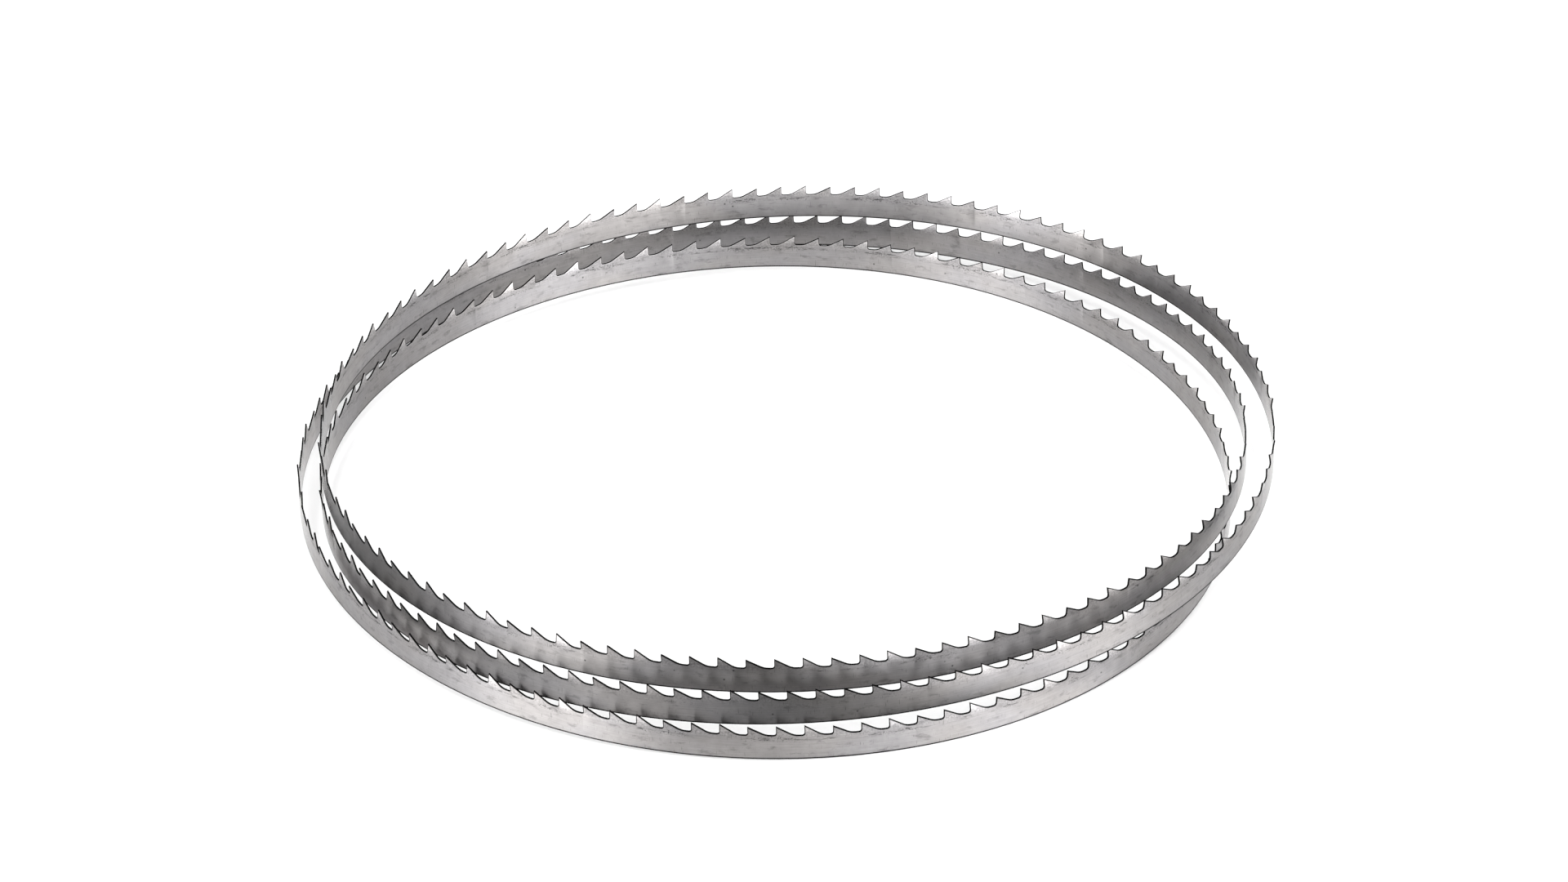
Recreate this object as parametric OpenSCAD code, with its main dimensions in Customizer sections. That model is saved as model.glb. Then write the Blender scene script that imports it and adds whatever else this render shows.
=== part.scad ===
// Band saw blade: one endless welded steel band, folded into three loops
// and lying on its back edge with the teeth up.
// The origin is on the surface that it rests on, under the middle of the coil.

/* [Band] */
// Width of the band, from its back edge to the tooth tips
band_w = 11.6; // [8:0.1:16]
// Thickness of the band
band_t = 0.5; // [0.3:0.05:0.7]
// Height left clear where one strand crosses over another
strand_gap = 0.5; // [0.3:0.1:1.5]

/* [Teeth] */
// Number of teeth round the whole band
teeth = 332; // [300:1:380]
// Distance from one tooth tip to the next, three teeth to the inch
pitch = 8.467; // [7.5:0.001:9.5]
// Depth of the gullets below the tooth tips
tooth_h = 3.1; // [2:0.1:3.6]
// Slope of a tooth's back, in degrees
back_slope = 30; // [27:1:40]
// Radius that runs a tooth's back into the floor of the gullet
gullet_r = 5; // [3:0.5:7]
// Radius at the foot of the cutting face
foot_r = 0.7; // [0.3:0.1:1]
// Sideways lean of a set tooth at its tip
tooth_set = 0.45; // [0:0.05:0.6]
// Depth of the bend that sets a tooth, below the floor of the gullet
bend_depth = 0.8; // [0.4:0.1:2]

/* [Coil] */
// Turn at which the butt weld lies, in degrees from the right of the coil
weld_turn = 343.9; // [0:0.1:360]
// Sideways drift that carries the loops past each other, two waves to the band
drift = 7.6; // [5:0.1:9]
// Climb of the band, one wave to the band, in shares of the step from strand to strand
climb = 0.744; // [0.7:0.001:0.85]

/* [Hidden] */

steel = [0.60, 0.60, 0.61];

// A band folds into three loops, so each wave below closes after three turns.
loops = 3;
full_turn = 360 * loops;

// How the loops lie, a row for each wave: waves in the whole band, size, crest.
// The crest is in degrees of the wave. Drift sizes are shares of the drift.
drift_waves = [[1, 0.28, 115], [2, 1, 346], [4, 0.1, 160], [5, 0.32, 25], [6, 0.16, 305], [7, 0.12, 85]];
// Climb sizes are shares of the step from one strand to the strand over it.
// The wave with three crests is the tilt at which the coil comes to rest.
climb_waves = [[1, climb, 41], [2, 0.149, 140], [3, 0.118, 282], [4, 0.058, 20], [5, 0.074, 195], [6, 0.017, 45]];
strand_step = band_w + strand_gap;

// The teeth are set in threes: straight, leaning in, leaning out.
set_pattern = [0, 1, -1];
// Place in the pattern of the first tooth after the weld
first_set = 0;

arc_steps = 3;
degree = PI / 180;

function sum(v) = v * [for (x = v) 1];
function unit(v) = v / norm(v);

// A sum of waves at a turn of the coil, then its first and second derivatives
function wave(rows, turn) = sum([for (r = rows) r[1] * cos(r[0] * turn / loops - r[2])]);
function wave_slope(rows, turn) =
    sum([for (r = rows) -r[0] / loops * r[1] * sin(r[0] * turn / loops - r[2])]);
function wave_bend(rows, turn) =
    sum([for (r = rows) -pow(r[0] / loops, 2) * r[1] * cos(r[0] * turn / loops - r[2])]);

// Centre line of the band, its velocity and its acceleration, per radian of turn
function place(radius, turn) =
    let (r = radius + drift * wave(drift_waves, turn))
    [r * cos(turn), r * sin(turn), strand_step * wave(climb_waves, turn)];
function velocity(radius, turn) =
    let (r = radius + drift * wave(drift_waves, turn), dr = drift * wave_slope(drift_waves, turn))
    [dr * cos(turn) - r * sin(turn), dr * sin(turn) + r * cos(turn),
     strand_step * wave_slope(climb_waves, turn)];
function acceleration(radius, turn) =
    let (
        r = radius + drift * wave(drift_waves, turn),
        dr = drift * wave_slope(drift_waves, turn),
        ddr = drift * wave_bend(drift_waves, turn)
    )
    [(ddr - r) * cos(turn) - 2 * dr * sin(turn), (ddr - r) * sin(turn) + 2 * dr * cos(turn),
     strand_step * wave_bend(climb_waves, turn)];

// The loop radius is the one at which the centre line is as long as the toothed strip.
band_length = teeth * pitch;
turn_step = 2;
function length_at(radius) =
    sum([for (a = [turn_step / 2 : turn_step : full_turn]) norm(velocity(radius, a)) * turn_step * degree]);
plain_radius = band_length / (2 * PI * loops);
loop_radius = plain_radius - (length_at(plain_radius) - band_length) / (2 * PI * loops);

// Rows of length along the band from the weld, and the turn that is reached there
ruler = [
    for (
        a = weld_turn, s = 0;
        a <= weld_turn + full_turn + turn_step;
        s = s + norm(velocity(loop_radius, a + turn_step / 2)) * turn_step * degree,
        a = a + turn_step
    ) [s, a]
];

// A place on the band: its centre, the direction across its face towards the
// inside of the coil, and the direction across its width towards the teeth.
// The width follows the curve's own binormal, as a flat strip does when it is coiled.
function station(s) =
    let (
        turn = lookup(s % band_length, ruler),
        ahead = unit(velocity(loop_radius, turn)),
        bend = acceleration(loop_radius, turn),
        inward = unit(bend - (bend * ahead) * ahead)
    )
    [place(loop_radius, turn), inward, cross(ahead, inward)];

// One tooth and its gullet: distance along the band from the tip, height over the gullet floor
back_run = (tooth_h - gullet_r * (1 - cos(back_slope))) / tan(back_slope);
floor_start = back_run + gullet_r * sin(back_slope);
outline = [
    [0, tooth_h],
    for (i = [arc_steps : -1 : 0])
        let (a = back_slope * i / arc_steps)
        [floor_start - gullet_r * sin(a), gullet_r * (1 - cos(a))],
    [pitch - foot_r, 0],
    [pitch, foot_r]
];
foot_top = len(outline) - 1;
// The bend line and the back edge each have one corner a tooth, just behind the tip.
bend_row = len(outline);
back_row = len(outline) + 1;
row_shift = 0.08 * pitch;
side_points = len(outline) + 2;
floor_h = band_w - tooth_h;

function set_of(tooth) = set_pattern[(tooth + first_set) % len(set_pattern)];

// Corners of one face of a tooth, each as distance along the band, height and lean
function corners(tooth) = [
    for (i = [0 : foot_top])
        let (owner = i == foot_top ? (tooth + 1) % teeth : tooth)
        [outline[i][0], floor_h + outline[i][1], set_of(owner) * tooth_set * outline[i][1] / tooth_h],
    [row_shift, floor_h - bend_depth, 0],
    [row_shift, 0, 0]
];

// The first tip stands half a pitch past the weld.
function tooth_points(tooth) = [
    for (side = [-1, 1], c = corners(tooth))
        let (at = station((tooth + 0.5) * pitch + c[0]))
        at[0] + (c[1] - band_w / 2) * at[2] + (c[2] + side * band_t / 2) * at[1]
];

band_points = [for (tooth = [0 : teeth - 1]) each tooth_points(tooth)];

// The coil's box is centred over the origin, with its lowest corner on the surface.
function middle(v) = (min(v) + max(v)) / 2;
under_coil = [
    middle([for (p = band_points) p[0]]),
    middle([for (p = band_points) p[1]]),
    min([for (p = band_points) p[2]])
];
resting_points = [for (p = band_points) p - under_coil];

function corner(tooth, side, i) = ((tooth % teeth) * 2 + side) * side_points + i;

// Triangles of one face, each corner as [teeth further on, number], clockwise
// from outside the coil. Each bend corner fans out over the outline above it.
floor_point = arc_steps + 1;
face_triangles = [
    for (i = [0 : floor_point - 1]) [[0, bend_row], [0, i], [0, i + 1]],
    [[0, bend_row], [0, floor_point], [1, bend_row]],
    for (i = [floor_point : foot_top - 1]) [[1, bend_row], [0, i], [0, i + 1]],
    [[1, bend_row], [0, foot_top], [1, 0]],
    [[0, back_row], [0, bend_row], [1, bend_row]],
    [[0, back_row], [1, bend_row], [1, back_row]]
];

// Edges along the toothed side, in order, and along the back
toothed_edges = [
    for (i = [0 : foot_top - 1]) [[0, i], [0, i + 1]],
    [[0, foot_top], [1, 0]]
];
back_edges = [[[1, back_row], [0, back_row]]];

outer = 0;
inner = 1;
function skin(tooth) = [
    for (t = face_triangles) [for (c = t) corner(tooth + c[0], outer, c[1])],
    for (t = face_triangles) [for (i = [2 : -1 : 0]) corner(tooth + t[i][0], inner, t[i][1])],
    for (e = concat(toothed_edges, back_edges), half = [0, 1])
        let (
            from_out = corner(tooth + e[0][0], outer, e[0][1]),
            from_in = corner(tooth + e[0][0], inner, e[0][1]),
            to_out = corner(tooth + e[1][0], outer, e[1][1]),
            to_in = corner(tooth + e[1][0], inner, e[1][1])
        )
        half == 0 ? [from_out, from_in, to_in] : [from_out, to_in, to_out]
];

// The whole band is one closed skin: two faces, a toothed edge and a back edge.
module blade() {
    color(steel)
        polyhedron(
            points = resting_points,
            faces = [for (tooth = [0 : teeth - 1]) each skin(tooth)],
            convexity = 12
        );
}

blade();
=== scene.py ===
import bpy
import math
from mathutils import Matrix, Vector
import numpy as np


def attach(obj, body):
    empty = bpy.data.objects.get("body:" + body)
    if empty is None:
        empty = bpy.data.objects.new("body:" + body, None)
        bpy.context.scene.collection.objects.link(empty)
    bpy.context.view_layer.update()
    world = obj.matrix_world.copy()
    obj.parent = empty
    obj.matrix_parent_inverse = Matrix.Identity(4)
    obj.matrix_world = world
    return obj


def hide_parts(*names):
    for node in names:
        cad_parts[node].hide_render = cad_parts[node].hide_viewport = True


# Band saw blade: an endless steel band, coiled into three loops, teeth up.
# The flat strip is modelled tooth by tooth, then a curve modifier coils it.

mm = 0.001
degree = math.pi / 180
hair = 0.02 * mm          # places nearer than this are one place

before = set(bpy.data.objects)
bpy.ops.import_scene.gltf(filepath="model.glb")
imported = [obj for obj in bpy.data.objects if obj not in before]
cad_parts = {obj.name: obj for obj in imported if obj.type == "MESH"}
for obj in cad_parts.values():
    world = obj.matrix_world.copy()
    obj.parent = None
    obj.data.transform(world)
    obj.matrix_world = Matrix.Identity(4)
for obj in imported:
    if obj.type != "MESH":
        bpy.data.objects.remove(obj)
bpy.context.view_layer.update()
print("frame loaded")


def hexToLinear(code):
    parts = [int(code[i:i + 2], 16) / 255 for i in (1, 3, 5)]
    return tuple(c / 12.92 if c <= 0.04045 else ((c + 0.055) / 1.055) ** 2.4 for c in parts) + (1.0,)


def addNode(tree, kind, settings=None, links=None, **properties):
    # Adds one node. Settings and links are keyed by socket name or number.
    made = tree.nodes.new(kind)
    for name, value in properties.items():
        setattr(made, name, value)
    for key, value in (settings or {}).items():
        made.inputs[key].default_value = value
    for key, source in (links or {}).items():
        tree.links.new(source, made.inputs[key])
    return made


def pickOnly(thing):
    bpy.ops.object.select_all(action="DESELECT")
    thing.select_set(True)
    bpy.context.view_layer.objects.active = thing


def applyModifier(thing, kind, **settings):
    pickOnly(thing)
    modifier = thing.modifiers.new(kind.title(), kind)
    for name, value in settings.items():
        setattr(modifier, name, value)
    bpy.ops.object.modifier_apply(modifier=modifier.name)


def readPoints(mesh):
    points = np.zeros(len(mesh.vertices) * 3)
    mesh.vertices.foreach_get("co", points)
    return points.reshape(-1, 3)


def writePoints(mesh, points):
    mesh.vertices.foreach_set("co", points.ravel())
    mesh.update()


# The band, in millimetres and degrees
band = {
    "width": 11.6,
    "thickness": 0.5,
    "teeth": 332,
    "pitch": 8.467,        # three teeth to the inch
    "toothHeight": 3.1,
    "backSlope": 30,
    "gulletRadius": 5,
    "footRadius": 0.7,
    "rim": 0.36,           # width of the dark line outside and the painted burr highlight inside, along every cut edge
    "cut": 1.1,            # the flat strip is cut this far before a tip
    "set": 0.45,           # sideways lean of a set tooth, at its tip
    "setPattern": (0, 1, -1),    # straight, leaning in, leaning out
    "bendDepth": 0.8,      # a set tooth is bent this far under the gullet floor
    "arcSteps": 4,
    "footSteps": 3,
    "creaseAngle": 35,     # edges sharper than this stay crisp
}

# The coil's path: loops of one closed curve. Each row is one wave, as its count in the
# whole band, its size and its crest. Sizes are shares of the drift and of the strand step.
coil = {
    "loops": 3,
    "weldTurn": 343.9,     # in degrees from the right of the coil
    "strandGap": 0.5,
    "drift": 7.6,          # sideways wander that carries the loops past each other
    "driftWaves": ((1, 0.28, 115), (2, 1, 346), (4, 0.1, 160),
                   (5, 0.32, 25), (6, 0.16, 305), (7, 0.12, 85)),
    "climbWaves": ((1, 0.744, 41), (2, 0.149, 140), (3, 0.118, 282),
                   (4, 0.058, 20), (5, 0.074, 195), (6, 0.017, 45)),
    "pathPoints": 1440,
}


def wave(rows, turn, order=0):
    # Sum of waves at a turn in degrees, or its first or second derivative
    total = np.zeros_like(turn)
    for count, size, crest in rows:
        k = count / coil["loops"]
        angle = (k * turn - crest) * degree
        total += size * (np.cos(angle), -k * np.sin(angle), -k * k * np.cos(angle))[order]
    return total


def coilPath(radius, turn):
    # Place, velocity and acceleration of the centre line, per radian of turn
    step = band["width"] + coil["strandGap"]
    r, dr, ddr = (wave(coil["driftWaves"], turn, order) * coil["drift"] for order in range(3))
    r = r + radius
    z, dz, ddz = (wave(coil["climbWaves"], turn, order) * step for order in range(3))
    c, s = np.cos(turn * degree), np.sin(turn * degree)
    place = np.stack([r * c, r * s, z], 1)
    velocity = np.stack([dr * c - r * s, dr * s + r * c, dz], 1)
    acceleration = np.stack([(ddr - r) * c - 2 * dr * s, (ddr - r) * s + 2 * dr * c, ddz], 1)
    return place, velocity, acceleration


def unit(v):
    return v / np.linalg.norm(v, axis=1, keepdims=True)


bandLength = band["teeth"] * band["pitch"]
fullTurn = 360 * coil["loops"]
turnStep = 2             # degrees
middles = np.arange(turnStep / 2, fullTurn, turnStep)
plainRadius = bandLength / (2 * math.pi * coil["loops"])
plainLength = np.linalg.norm(coilPath(plainRadius, middles)[1], axis=1).sum() * turnStep * degree
loopRadius = plainRadius - (plainLength - bandLength) / (2 * math.pi * coil["loops"])

# Turn reached at each length along the band from the weld
turns = coil["weldTurn"] + np.arange(0, fullTurn + turnStep / 2, turnStep)
steps = np.linalg.norm(coilPath(loopRadius, turns[:-1] + turnStep / 2)[1], axis=1) * turnStep * degree
lengths = np.concatenate([[0], np.cumsum(steps)])
# The first tip stands half a pitch past the weld, and the strip starts in the gullet before it.
stripStart = -band["cut"]
startShare = (band["pitch"] / 2 + stripStart) / bandLength
pathLengths = (np.arange(coil["pathPoints"]) / coil["pathPoints"] + startShare) * lengths[-1]
pathTurns = np.interp(pathLengths % lengths[-1], lengths, turns)
place, velocity, acceleration = coilPath(loopRadius, pathTurns)
ahead = unit(velocity)
inward = unit(acceleration - (acceleration * ahead).sum(1, keepdims=True) * ahead)
level = unit(np.cross([0, 0, 1], ahead))
above = np.cross(ahead, level)
lean = np.arctan2((inward * above).sum(1), (inward * level).sum(1))

pathData = bpy.data.curves.new("coilPath", "CURVE")
pathData.dimensions = "3D"
pathData.twist_mode = "Z_UP"
pathData.use_stretch = True
pathData.use_deform_bounds = True
spline = pathData.splines.new("POLY")
spline.points.add(coil["pathPoints"] - 1)
for point, at, tilt in zip(spline.points, place * mm, lean):
    point.co = (*at, 1)
    point.tilt = tilt
spline.use_cyclic_u = True
coilPathObject = bpy.data.objects.new("coilPath", pathData)
bpy.context.scene.collection.objects.link(coilPathObject)
print("coil path drawn, loop radius", round(loopRadius, 3), "mm")

slope = band["backSlope"] * degree
gulletR = band["gulletRadius"]
backRun = (band["toothHeight"] - gulletR * (1 - math.cos(slope))) / math.tan(slope)
floorStart = backRun + gulletR * math.sin(slope)
floorHeight = band["width"] - band["toothHeight"]
footR = band["footRadius"]

# Columns of the tooth as distance from the tip and height over the gullet floor:
# the gullet and foot before it, its cutting face, its back and the next gullet.
columns = [(stripStart, 0)]
for i in range(band["footSteps"] + 1):
    a = math.pi / 2 * i / band["footSteps"]
    columns.append((footR * (math.sin(a) - 1), footR * (1 - math.cos(a))))
faceColumn = len(columns) - 1
for i in range(band["arcSteps"] + 1):
    a = slope * (1 - i / band["arcSteps"])
    columns.append((floorStart - gulletR * math.sin(a), gulletR * (1 - math.cos(a))))
columns.append((stripStart + band["pitch"], 0))
bendHeight = floorHeight - band["bendDepth"]

# Rows are the back edge, the bend line, the foot of the cutting face and the profile.
rowCount = 4
footRow = 2
bpy.ops.object.select_all(action="DESELECT")
bpy.ops.mesh.primitive_grid_add(
    x_subdivisions=len(columns) - 1, y_subdivisions=rowCount - 1, size=1, calc_uvs=False,
    rotation=(math.pi / 2, 0, 0))
blade = bpy.context.object
blade.name = "bandBlade"
bpy.ops.object.transform_apply(location=True, rotation=True, scale=True)

# The grid reaches half a unit each way, so half a unit more numbers its columns and rows from 0.
points = readPoints(blade.data)
columnOf = np.rint((points[:, 0] + 0.5) * (len(columns) - 1)).astype(int)
rowOf = np.rint((points[:, 2] + 0.5) * (rowCount - 1)).astype(int)
for i, (c, r) in enumerate(zip(columnOf, rowOf)):
    x, h = columns[c]
    footLevel = floorHeight + h if c <= faceColumn else bendHeight
    profileLevel = floorHeight + (band["toothHeight"] if c == faceColumn else h)
    points[i] = (x * mm, 0, (0, bendHeight, footLevel, profileLevel)[r] * mm)
writePoints(blade.data, points)
# Nothing stands before the cutting face, so the sliver that the grid has there goes.
bpy.ops.object.mode_set(mode="EDIT")
bpy.ops.mesh.select_mode(type="FACE")
bpy.ops.mesh.select_all(action="DESELECT")
bpy.ops.object.mode_set(mode="OBJECT")
for face in blade.data.polygons:
    own = list(face.vertices)
    face.select = bool(columnOf[own].max() == faceColumn and rowOf[own].min() == footRow)
bpy.ops.object.mode_set(mode="EDIT")
bpy.ops.mesh.delete(type="FACE")
bpy.ops.mesh.select_all(action="SELECT")
bpy.ops.mesh.remove_doubles(threshold=hair)
bpy.ops.object.mode_set(mode="OBJECT")

applyModifier(blade, "ARRAY", fit_type="FIXED_COUNT", count=band["teeth"], use_relative_offset=False,
              use_constant_offset=True, constant_offset_displace=(band["pitch"] * mm, 0, 0),
              use_merge_vertices=True, merge_threshold=hair)
bpy.ops.object.mode_set(mode="EDIT")
bpy.ops.mesh.select_all(action="SELECT")
bpy.ops.mesh.inset(thickness=band["rim"] * mm, use_boundary=True)
bpy.ops.object.mode_set(mode="OBJECT")
print("strip of", band["teeth"], "teeth,", len(blade.data.polygons), "faces on one side")


def toothLean(points):
    # Which way the tooth at each point leans, and how far up the tooth the point is
    toothOf = np.floor((points[:, 0] / mm - stripStart) / band["pitch"]).astype(int)
    leanOf = np.array(band["setPattern"])[toothOf % len(band["setPattern"])]
    rise = np.clip((points[:, 2] / mm - floorHeight) / band["toothHeight"], 0, 1)
    return leanOf, rise


# Set teeth lean from the gullet floor up.
points = readPoints(blade.data)
leanOf, rise = toothLean(points)
points[:, 1] += leanOf * rise * band["set"] * mm
writePoints(blade.data, points)

# Points on a cut edge are marked, but not those between the two ends of the strip.
edgeEnds = np.zeros(len(blade.data.edges) * 2, int)
blade.data.edges.foreach_get("vertices", edgeEnds)
edgeOfCorner = np.zeros(len(blade.data.loops), int)
blade.data.loops.foreach_get("edge_index", edgeOfCorner)
openEdges = edgeEnds.reshape(-1, 2)[np.bincount(edgeOfCorner, minlength=len(blade.data.edges)) == 1]
marks = np.zeros(len(points))
marks[openEdges.ravel()] = 1
stripEnd = stripStart + bandLength
onEnd = (points[:, 0] < stripStart * mm + hair) | (points[:, 0] > stripEnd * mm - hair)
marks[onEnd & (points[:, 2] > hair) & (points[:, 2] < floorHeight * mm - hair)] = 0
cutEdge = blade.data.attributes.new("cutEdge", "FLOAT", "POINT")
cutEdge.data.foreach_set("value", marks)

# Stretches of painted light and shade: brighter or darker colour that stands in for reflections and for
# the shade of neighbouring strands, each as its turn, its half width, the change along the back edge and
# the change under the teeth. Each fades out at its ends.
paintedLightStretches = (
    (4, 10, 0.6, 0.6), (20, 9, 0, 0.4), (54, 14, -0.35, 0.1), (82, 34, 0.1, 0.4),
    (116, 16, -0.2, -0.1), (207, 45, -0.7, -0.7), (264, 18, 0.6, -0.6), (279, 10, 0.4, 0.4),
    (302, 20, -0.35, -0.55), (322, 14, -0.65, 0.45), (440, 90, 0.05, -0.45), (531, 18, 0.4, 0.2),
    (609, 8, 0.2, 0.15), (622, 12, 0, -0.25), (640, 12, 0.2, 0.2), (664, 12, 0.2, -0.25),
    (688, 10, 0.35, -0.2), (712, 12, 0.7, 0.7), (822, 10, 0.1, 0.2), (878, 16, -0.2, -0.15),
    (941, 15, 1.8, -0.7), (957, 30, -0.55, -0.65), (990, 24, -0.66, -0.7), (1009, 20, -0.7, -0.05),
)
turnOf = np.interp((points[:, 0] / mm + band["pitch"] / 2) % bandLength, lengths, turns)
tones = np.ones(len(points))
upward = np.clip(points[:, 2] / mm / floorHeight, 0, 1)
for centre, halfWidth, atBack, atTeeth in paintedLightStretches:
    away = np.abs((turnOf - centre + fullTurn / 2) % fullTurn - fullTurn / 2) / halfWidth
    fade = (1 + np.cos(math.pi * np.clip(away, 0, 1))) / 2
    tones *= 1 + (atBack + (atTeeth - atBack) * upward) * fade
# The product is painted light and shade, kept on the points for the band's finish.
paintedLightMarks = blade.data.attributes.new("paintedLight", "FLOAT", "POINT")
paintedLightMarks.data.foreach_set("value", tones)

# The UV map is the flat strip itself: distance along the band and height, in metres.
uvLayer = blade.data.uv_layers.new(name="flatStrip")
corners = np.zeros(len(blade.data.loops), int)
blade.data.loops.foreach_get("vertex_index", corners)
uvLayer.data.foreach_set("uv", points[corners][:, (0, 2)].ravel())

# The faces of the strip take the first finish and its cut edges the second.
for name in ("coldRolledBandSteel", "milledEdgeSteel"):
    blade.data.materials.append(bpy.data.materials.new(name))
applyModifier(blade, "SOLIDIFY", thickness=band["thickness"] * mm, offset=0, use_even_offset=False,
              use_rim=True, material_offset_rim=1)

# Painted highlight on the flank that a set tooth leans away from, which tilts up toward the overhead
# light.
points = readPoints(blade.data)
leanOf, rise = toothLean(points)
side = np.sign(points[:, 1] - leanOf * rise * band["set"] * mm)
paintedSetSheen = blade.data.attributes.new("paintedSetSheen", "FLOAT", "POINT")
paintedSetSheen.data.foreach_set("value", np.clip(-side * leanOf, 0, 1) * rise)
# Milling pushes a burr to the inside of the coil, which carries a painted highlight, and a dark line runs
# along the outside.
cutEdge = blade.data.attributes["cutEdge"]
marks = np.zeros(len(points))
cutEdge.data.foreach_get("value", marks)
cutEdge.data.foreach_set("value", marks * side)

# The butt weld leaves no walls between the two ends of the strip.
bpy.ops.object.mode_set(mode="EDIT")
bpy.ops.mesh.select_all(action="DESELECT")
bpy.ops.object.mode_set(mode="OBJECT")
for face in blade.data.polygons:
    face.select = min(abs(face.center.x - end * mm) for end in (stripStart, stripEnd)) < hair
bpy.ops.object.mode_set(mode="EDIT")
bpy.ops.mesh.delete(type="FACE")
bpy.ops.object.mode_set(mode="OBJECT")

# The coil's path runs along the middle of the band's width.
points = readPoints(blade.data)
points[:, 2] -= band["width"] * mm / 2
writePoints(blade.data, points)
applyModifier(blade, "CURVE", object=coilPathObject, deform_axis="POS_X")
bpy.data.objects.remove(coilPathObject)
bpy.ops.object.mode_set(mode="EDIT")
bpy.ops.mesh.select_all(action="SELECT")
bpy.ops.mesh.remove_doubles(threshold=hair)
bpy.ops.mesh.normals_make_consistent(inside=False)
bpy.ops.object.mode_set(mode="OBJECT")

# The coil's box is centred over the origin, with its lowest point on the floor.
points = readPoints(blade.data)
low, high = points.min(0), points.max(0)
points -= ((low[0] + high[0]) / 2, (low[1] + high[1]) / 2, low[2])
writePoints(blade.data, points)
pickOnly(blade)
bpy.ops.object.shade_smooth_by_angle(angle=band["creaseAngle"] * degree)
print("band coiled:", len(blade.data.polygons), "faces")
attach(blade, "root")
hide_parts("blade")


# Both finishes follow the flat strip. Each pattern is noise with its cell along the band
# and across it in millimetres, its detail and its roughness. Each layer multiplies a value
# by a ramp: the value, what drives it, the drive's low and high, and the factor at each.
finishes = {
    # Cold rolled spring steel, hardened and oiled: a satin grey metal. Rolling leaves fine
    # grain along the band, so light spreads across its width and turns with the coil.
    "coldRolledBandSteel": {
        "tones": ("#9A9796", "#999798"),
        "settings": {"Metallic": 1, "Anisotropic": 0.85, "Anisotropic Rotation": 0.25},
        "patterns": {
            "rolling": (14, 0.3, 3, 0.6),
            "mottle": (4, 4, 3, 0.6),
            "cloud": (60, 60, 2, 0.5),
            "hue": (35, 14, 2, 0.5),
            "grinding": (0.7, 0.6, 2, 0.7),    # grit marks, coarser than real ones so that they show
            "blotch": (4, 0.8, 4, 0.75),
            "wander": (16, 16, 3, 0.6),
            "stain": (6, 2.5, 4, 0.65),
            "scratch": (0.3, 3, 1, 0.5),
        },
        "layers": (
            ("grit", "grinding", 0.3, 0.7, -1, 1),
            ("grit", "height", 7, 8.5, 0, 1),
            ("smudge", "lineOffset", 0.1, 0.6, 1, 0),       # dirt along the edge of the hardened zone
            ("smudge", "blotch", 0.5, 0.57, 0, 1),
            ("smudge", "wander", 0.42, 0.52, 0.15, 1),
            ("smudge", "paintedLight", 0.7, 0.95, 0, 1),
            ("fleck", "lineOffset", 0.6, 1.5, 1, 0),        # specks of dirt thrown round that line
            ("fleck", "grinding", 0.54, 0.62, 0, 1),
            ("fleck", "wander", 0.48, 0.58, 0, 1),
            ("fleck", "paintedLight", 0.5, 0.9, 0.3, 1),
            # painted light and shade from the stretches along the band
            ("shade", "paintedLight", 0, 2, 0, 2),
            ("shade", "rolling", 0.3, 0.7, 0.9, 1.1),
            ("shade", "mottle", 0.3, 0.7, 0.92, 1.08),
            ("shade", "cloud", 0.35, 0.65, 0.96, 1.04),
            ("shade", "grit", -1, 1, 0.68, 1.35),
            ("shade", "smudge", 0, 1, 1, 0.3),
            ("shade", "fleck", 0, 1, 1, 0.3),
            ("shade", "stain", 0.56, 0.66, 1, 0.72),
            ("shade", "scratch", 0.68, 0.75, 1, 0.6),
            ("shade", "specks", 0.03, 0.07, 0.3, 1),
            ("shade", "height", 0.3, 0.55, 0.1, 1),         # darker in a thin line along the back edge
            ("shade", "cutEdge", -0.5, -0.1, 0.04, 1),      # a dark line round every cut, on the outside
            ("shade", "cutEdge", 0.1, 0.3, 1, 1.45),        # painted highlight on the burr round it on the inside
            ("shade", "cutEdge", 0.6, 0.75, 1, 0.04),       # and a dark line along the very edge of that burr
            ("shade", "paintedSetSheen", 0, 1, 1, 2.1),             # painted highlight on the flank a set tooth leans away from
            ("roughness", "cloud", 0.3, 0.7, 0.39, 0.45),
            ("roughness", "smudge", 0, 1, 1, 1.2),
            ("roughness", "glance", 0.71, 0.97, 1, 0.37),   # glossier where it is seen edge on
        ),
        "relief": {"mottle": 0.004, "rolling": 0.002},      # depths in millimetres
    },
    # The cut edge of the band: milled steel, coloured very dark, so it stays dark beside the faces.
    "milledEdgeSteel": {
        "tones": ("#121111", "#111112"),
        "settings": {"Metallic": 1, "Specular Tint": (0.1, 0.1, 0.1, 1)},
        "patterns": {
            "hue": (35, 14, 2, 0.5),
            "cloud": (60, 60, 2, 0.5),
            "milling": (0.4, 0.4, 2, 0.6),
        },
        "layers": (
            ("shade", "milling", 0.3, 0.7, 0.8, 1.2),
            ("roughness", "cloud", 0.3, 0.7, 0.45, 0.6),
        ),
        "relief": {"milling": 0.004},
    },
}

# Other marks of the finish: sizes in millimetres, and the spans that noise keeps to
surfaceMarks = {
    "speckSpacing": 6,
    "hardenedDepths": (0.6, 2.2),    # how far under the gullet floors the hardened zone's edge wanders
    "noiseSpan": (0.3, 0.7),         # noise seldom leaves this span
    "hueSpan": (0.4, 0.6),
}
speckScale = 1 / (surfaceMarks["speckSpacing"] * mm)
noiseLow, noiseHigh = surfaceMarks["noiseSpan"]
hueLow, hueHigh = surfaceMarks["hueSpan"]

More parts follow.
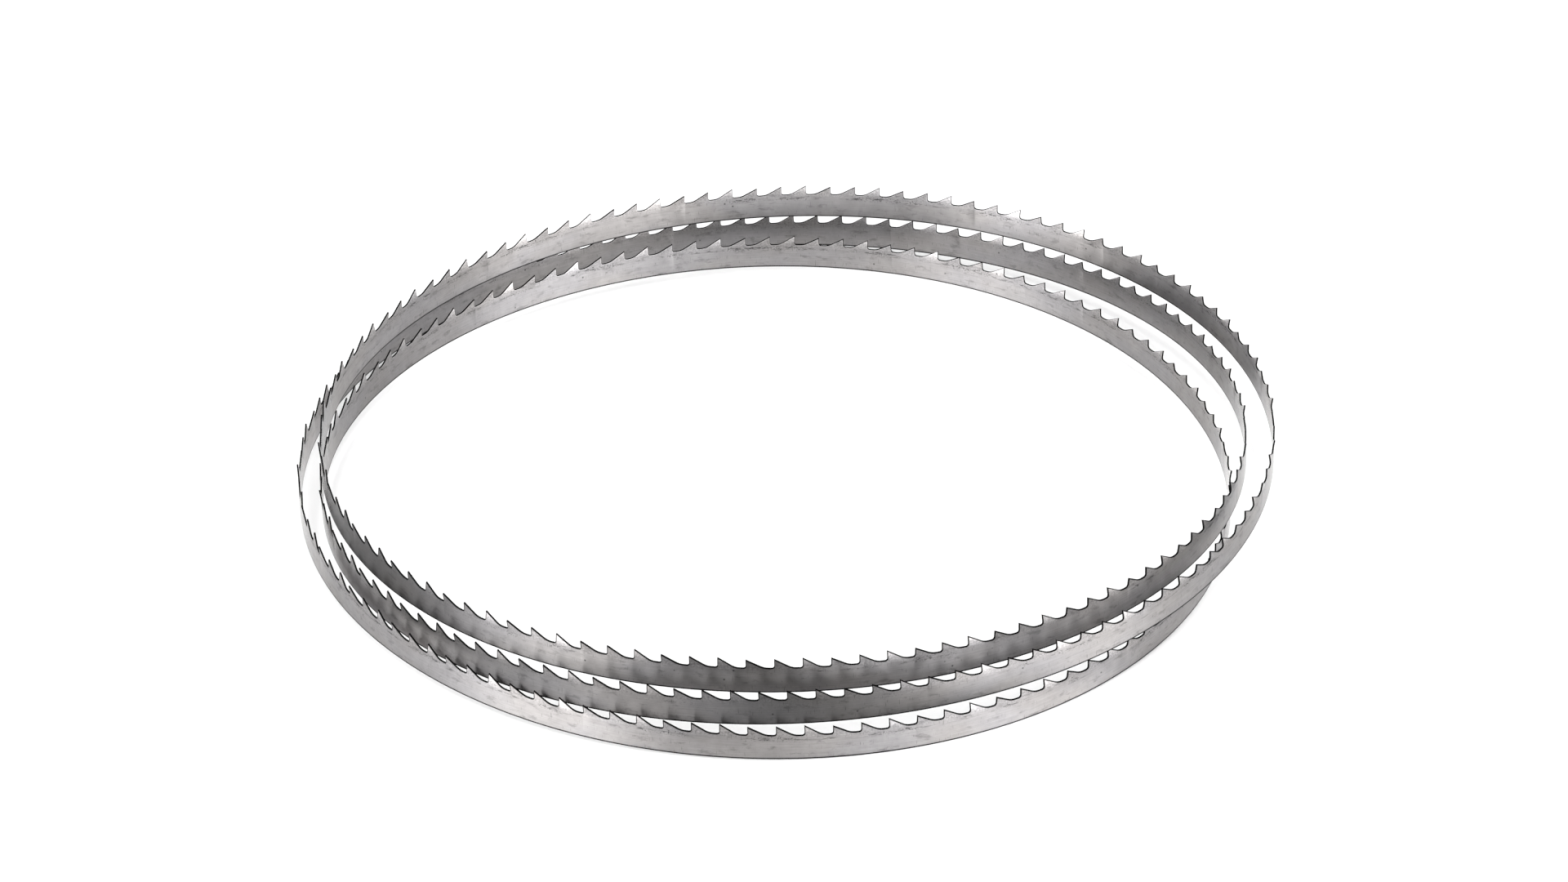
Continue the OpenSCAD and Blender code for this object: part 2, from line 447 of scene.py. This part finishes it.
# Sockets that share a name go by number. A map range has its value at 0, its span at 1 and 2 and
# its results at 3 and 4. A colour mix has its share at 0 and its colours at 6 and 7.
for name, finish in finishes.items():
    material = bpy.data.materials[name]
    material.use_nodes = True
    tree = material.node_tree
    tree.nodes.clear()
    strip = addNode(tree, "ShaderNodeUVMap", uv_map="flatStrip").outputs[0]
    values = {}
    for pattern, (along, tall, detail, roughness) in finish["patterns"].items():
        scale = (1 / (along * mm), 1 / (tall * mm), 1)
        cells = addNode(tree, "ShaderNodeMapping", {"Scale": scale}, {"Vector": strip}).outputs[0]
        noise = {"Scale": 1, "Detail": detail, "Roughness": roughness}
        values[pattern] = addNode(tree, "ShaderNodeTexNoise", noise, {"Vector": cells}).outputs[0]
    drives = [layer[1] for layer in finish["layers"]]
    for mark in ("paintedLight", "cutEdge", "paintedSetSheen"):
        if mark in drives:
            values[mark] = addNode(tree, "ShaderNodeAttribute", attribute_name=mark).outputs["Fac"]
    if "glance" in drives:
        values["glance"] = addNode(tree, "ShaderNodeLayerWeight", {"Blend": 0.5}).outputs["Facing"]
    if "specks" in drives:
        scale = (speckScale, speckScale, 1)
        cells = addNode(tree, "ShaderNodeMapping", {"Scale": scale}, {"Vector": strip}).outputs[0]
        specks = addNode(tree, "ShaderNodeTexVoronoi", {"Scale": 1}, {"Vector": cells}).outputs[0]
        values["specks"] = specks
    if "height" in drives:
        # Height up the band in millimetres, and the distance from the edge of the hardened zone
        metres = addNode(tree, "ShaderNodeSeparateXYZ", links={0: strip}).outputs[1]
        height = addNode(tree, "ShaderNodeMath", {1: 1 / mm}, {0: metres}, operation="MULTIPLY").outputs[0]
        values["height"] = height
        lowest, highest = (floorHeight - depth for depth in reversed(surfaceMarks["hardenedDepths"]))
        span = {1: noiseLow, 2: noiseHigh, 3: lowest, 4: highest}
        line = addNode(tree, "ShaderNodeMapRange", span, {0: values["wander"]}).outputs[0]
        links = {0: height, 1: line}
        offset = addNode(tree, "ShaderNodeMath", links=links, operation="SUBTRACT").outputs[0]
        distance = addNode(tree, "ShaderNodeMath", links={0: offset}, operation="ABSOLUTE").outputs[0]
        values["lineOffset"] = distance

    for target, drive, low, high, atLow, atHigh in finish["layers"]:
        span = {1: low, 2: high, 3: atLow, 4: atHigh}
        ramp = addNode(tree, "ShaderNodeMapRange", span, {0: values[drive]}).outputs[0]
        links = {0: ramp}
        if target in values:
            links[1] = values[target]
        values[target] = addNode(tree, "ShaderNodeMath", {1: 1}, links, operation="MULTIPLY").outputs[0]

    warm, cool = (hexToLinear(code) for code in finish["tones"])
    share = addNode(tree, "ShaderNodeMapRange", {1: hueLow, 2: hueHigh}, {0: values["hue"]}).outputs[0]
    tint = addNode(tree, "ShaderNodeMix", {6: warm, 7: cool}, {0: share}, data_type="RGBA").outputs[2]
    links = {"Vector": tint, "Scale": values["shade"]}
    colour = addNode(tree, "ShaderNodeVectorMath", links=links, operation="SCALE").outputs[0]
    links = {"Base Color": colour, "Roughness": values["roughness"]}
    for pattern, depth in finish["relief"].items():
        bumpLinks = {"Height": values[pattern]}
        if "Normal" in links:
            bumpLinks["Normal"] = links["Normal"]
        bump = addNode(tree, "ShaderNodeBump", {"Distance": depth * mm}, bumpLinks).outputs[0]
        links["Normal"] = bump
    tangent = addNode(tree, "ShaderNodeTangent", direction_type="UV_MAP", uv_map="flatStrip").outputs[0]
    links["Tangent"] = tangent
    surface = addNode(tree, "ShaderNodeBsdfPrincipled", finish["settings"], links)
    addNode(tree, "ShaderNodeOutputMaterial", links={0: surface.outputs[0]})
    print("finished", name)

# A plain sheet of white paper, far wider than the view, in a grey room
studio = {
    "floorRadius": 12,
    "floorSides": 96,
    "paper": "#F7F7F7",
    "paperRoughness": 0.9,
    "surround": (0.22, 0.22, 0.22, 1),
}
bpy.ops.mesh.primitive_circle_add(vertices=studio["floorSides"], radius=studio["floorRadius"],
                                  fill_type="NGON")
floor = bpy.context.object
floor.name = "paperFloor"
paper = bpy.data.materials.new("mattWhitePaper")
paper.use_nodes = True
sheet = paper.node_tree.nodes["Principled BSDF"]
sheet.inputs["Base Color"].default_value = hexToLinear(studio["paper"])
sheet.inputs["Roughness"].default_value = studio["paperRoughness"]
floor.data.materials.append(paper)

# Soft light from above and from both sides
lamps = {
    "overheadSoftbox": {"at": (0, 0.1, 2.4), "aim": (0, 0, 0), "size": (2.2, 2.2), "power": 58},
    "leftSoftbox": {"at": (-1.53, -0.95, 0.6), "aim": (0, 0, 0.02), "size": (1.1, 1.1), "power": 36},
    "rightSoftbox": {"at": (1.44, -1.08, 0.6), "aim": (0, 0, 0.02), "size": (1.5, 1.1), "power": 42},
}
for name, lamp in lamps.items():
    light = bpy.data.lights.new(name, "AREA")
    light.shape = "RECTANGLE"
    light.size, light.size_y = lamp["size"]
    light.energy = lamp["power"]
    holder = bpy.data.objects.new(name, light)
    bpy.context.scene.collection.objects.link(holder)
    holder.location = lamp["at"]
    holder.rotation_euler = (Vector(lamp["aim"]) - Vector(lamp["at"])).to_track_quat("-Z", "Y").to_euler()

world = bpy.data.worlds.new("studio")
bpy.context.scene.world = world
world.use_nodes = True
world.node_tree.nodes["Background"].inputs["Color"].default_value = studio["surround"]
world.node_tree.nodes["Background"].inputs["Strength"].default_value = 1

# The photograph's viewing angle, in millimetres and degrees
view = {
    "at": (-1.87, -1416.8, 887.8),
    "forward": (0.0010, 0.8517, -0.5242),
    "roll": -1.80,
    "lens": 118.85,
    "reach": 100000,       # nothing farther is drawn
}
forward = Vector(view["forward"]).normalized()
right = forward.cross(Vector((0, 0, 1))).normalized()
up = right.cross(forward)
roll = view["roll"] * degree
imageRight = right * math.cos(roll) + up * math.sin(roll)
imageUp = up * math.cos(roll) - right * math.sin(roll)
cameraData = bpy.data.cameras.new("camera")
cameraData.lens = view["lens"]
cameraData.clip_end = view["reach"] * mm
camera = bpy.data.objects.new("camera", cameraData)
bpy.context.scene.collection.objects.link(camera)
turned = Matrix((imageRight, imageUp, -forward)).transposed().to_4x4()
camera.matrix_world = Matrix.Translation(Vector(view["at"]) * mm) @ turned
bpy.context.scene.camera = camera
bpy.context.scene.view_settings.view_transform = "Standard"
print("floor, lights and camera placed")
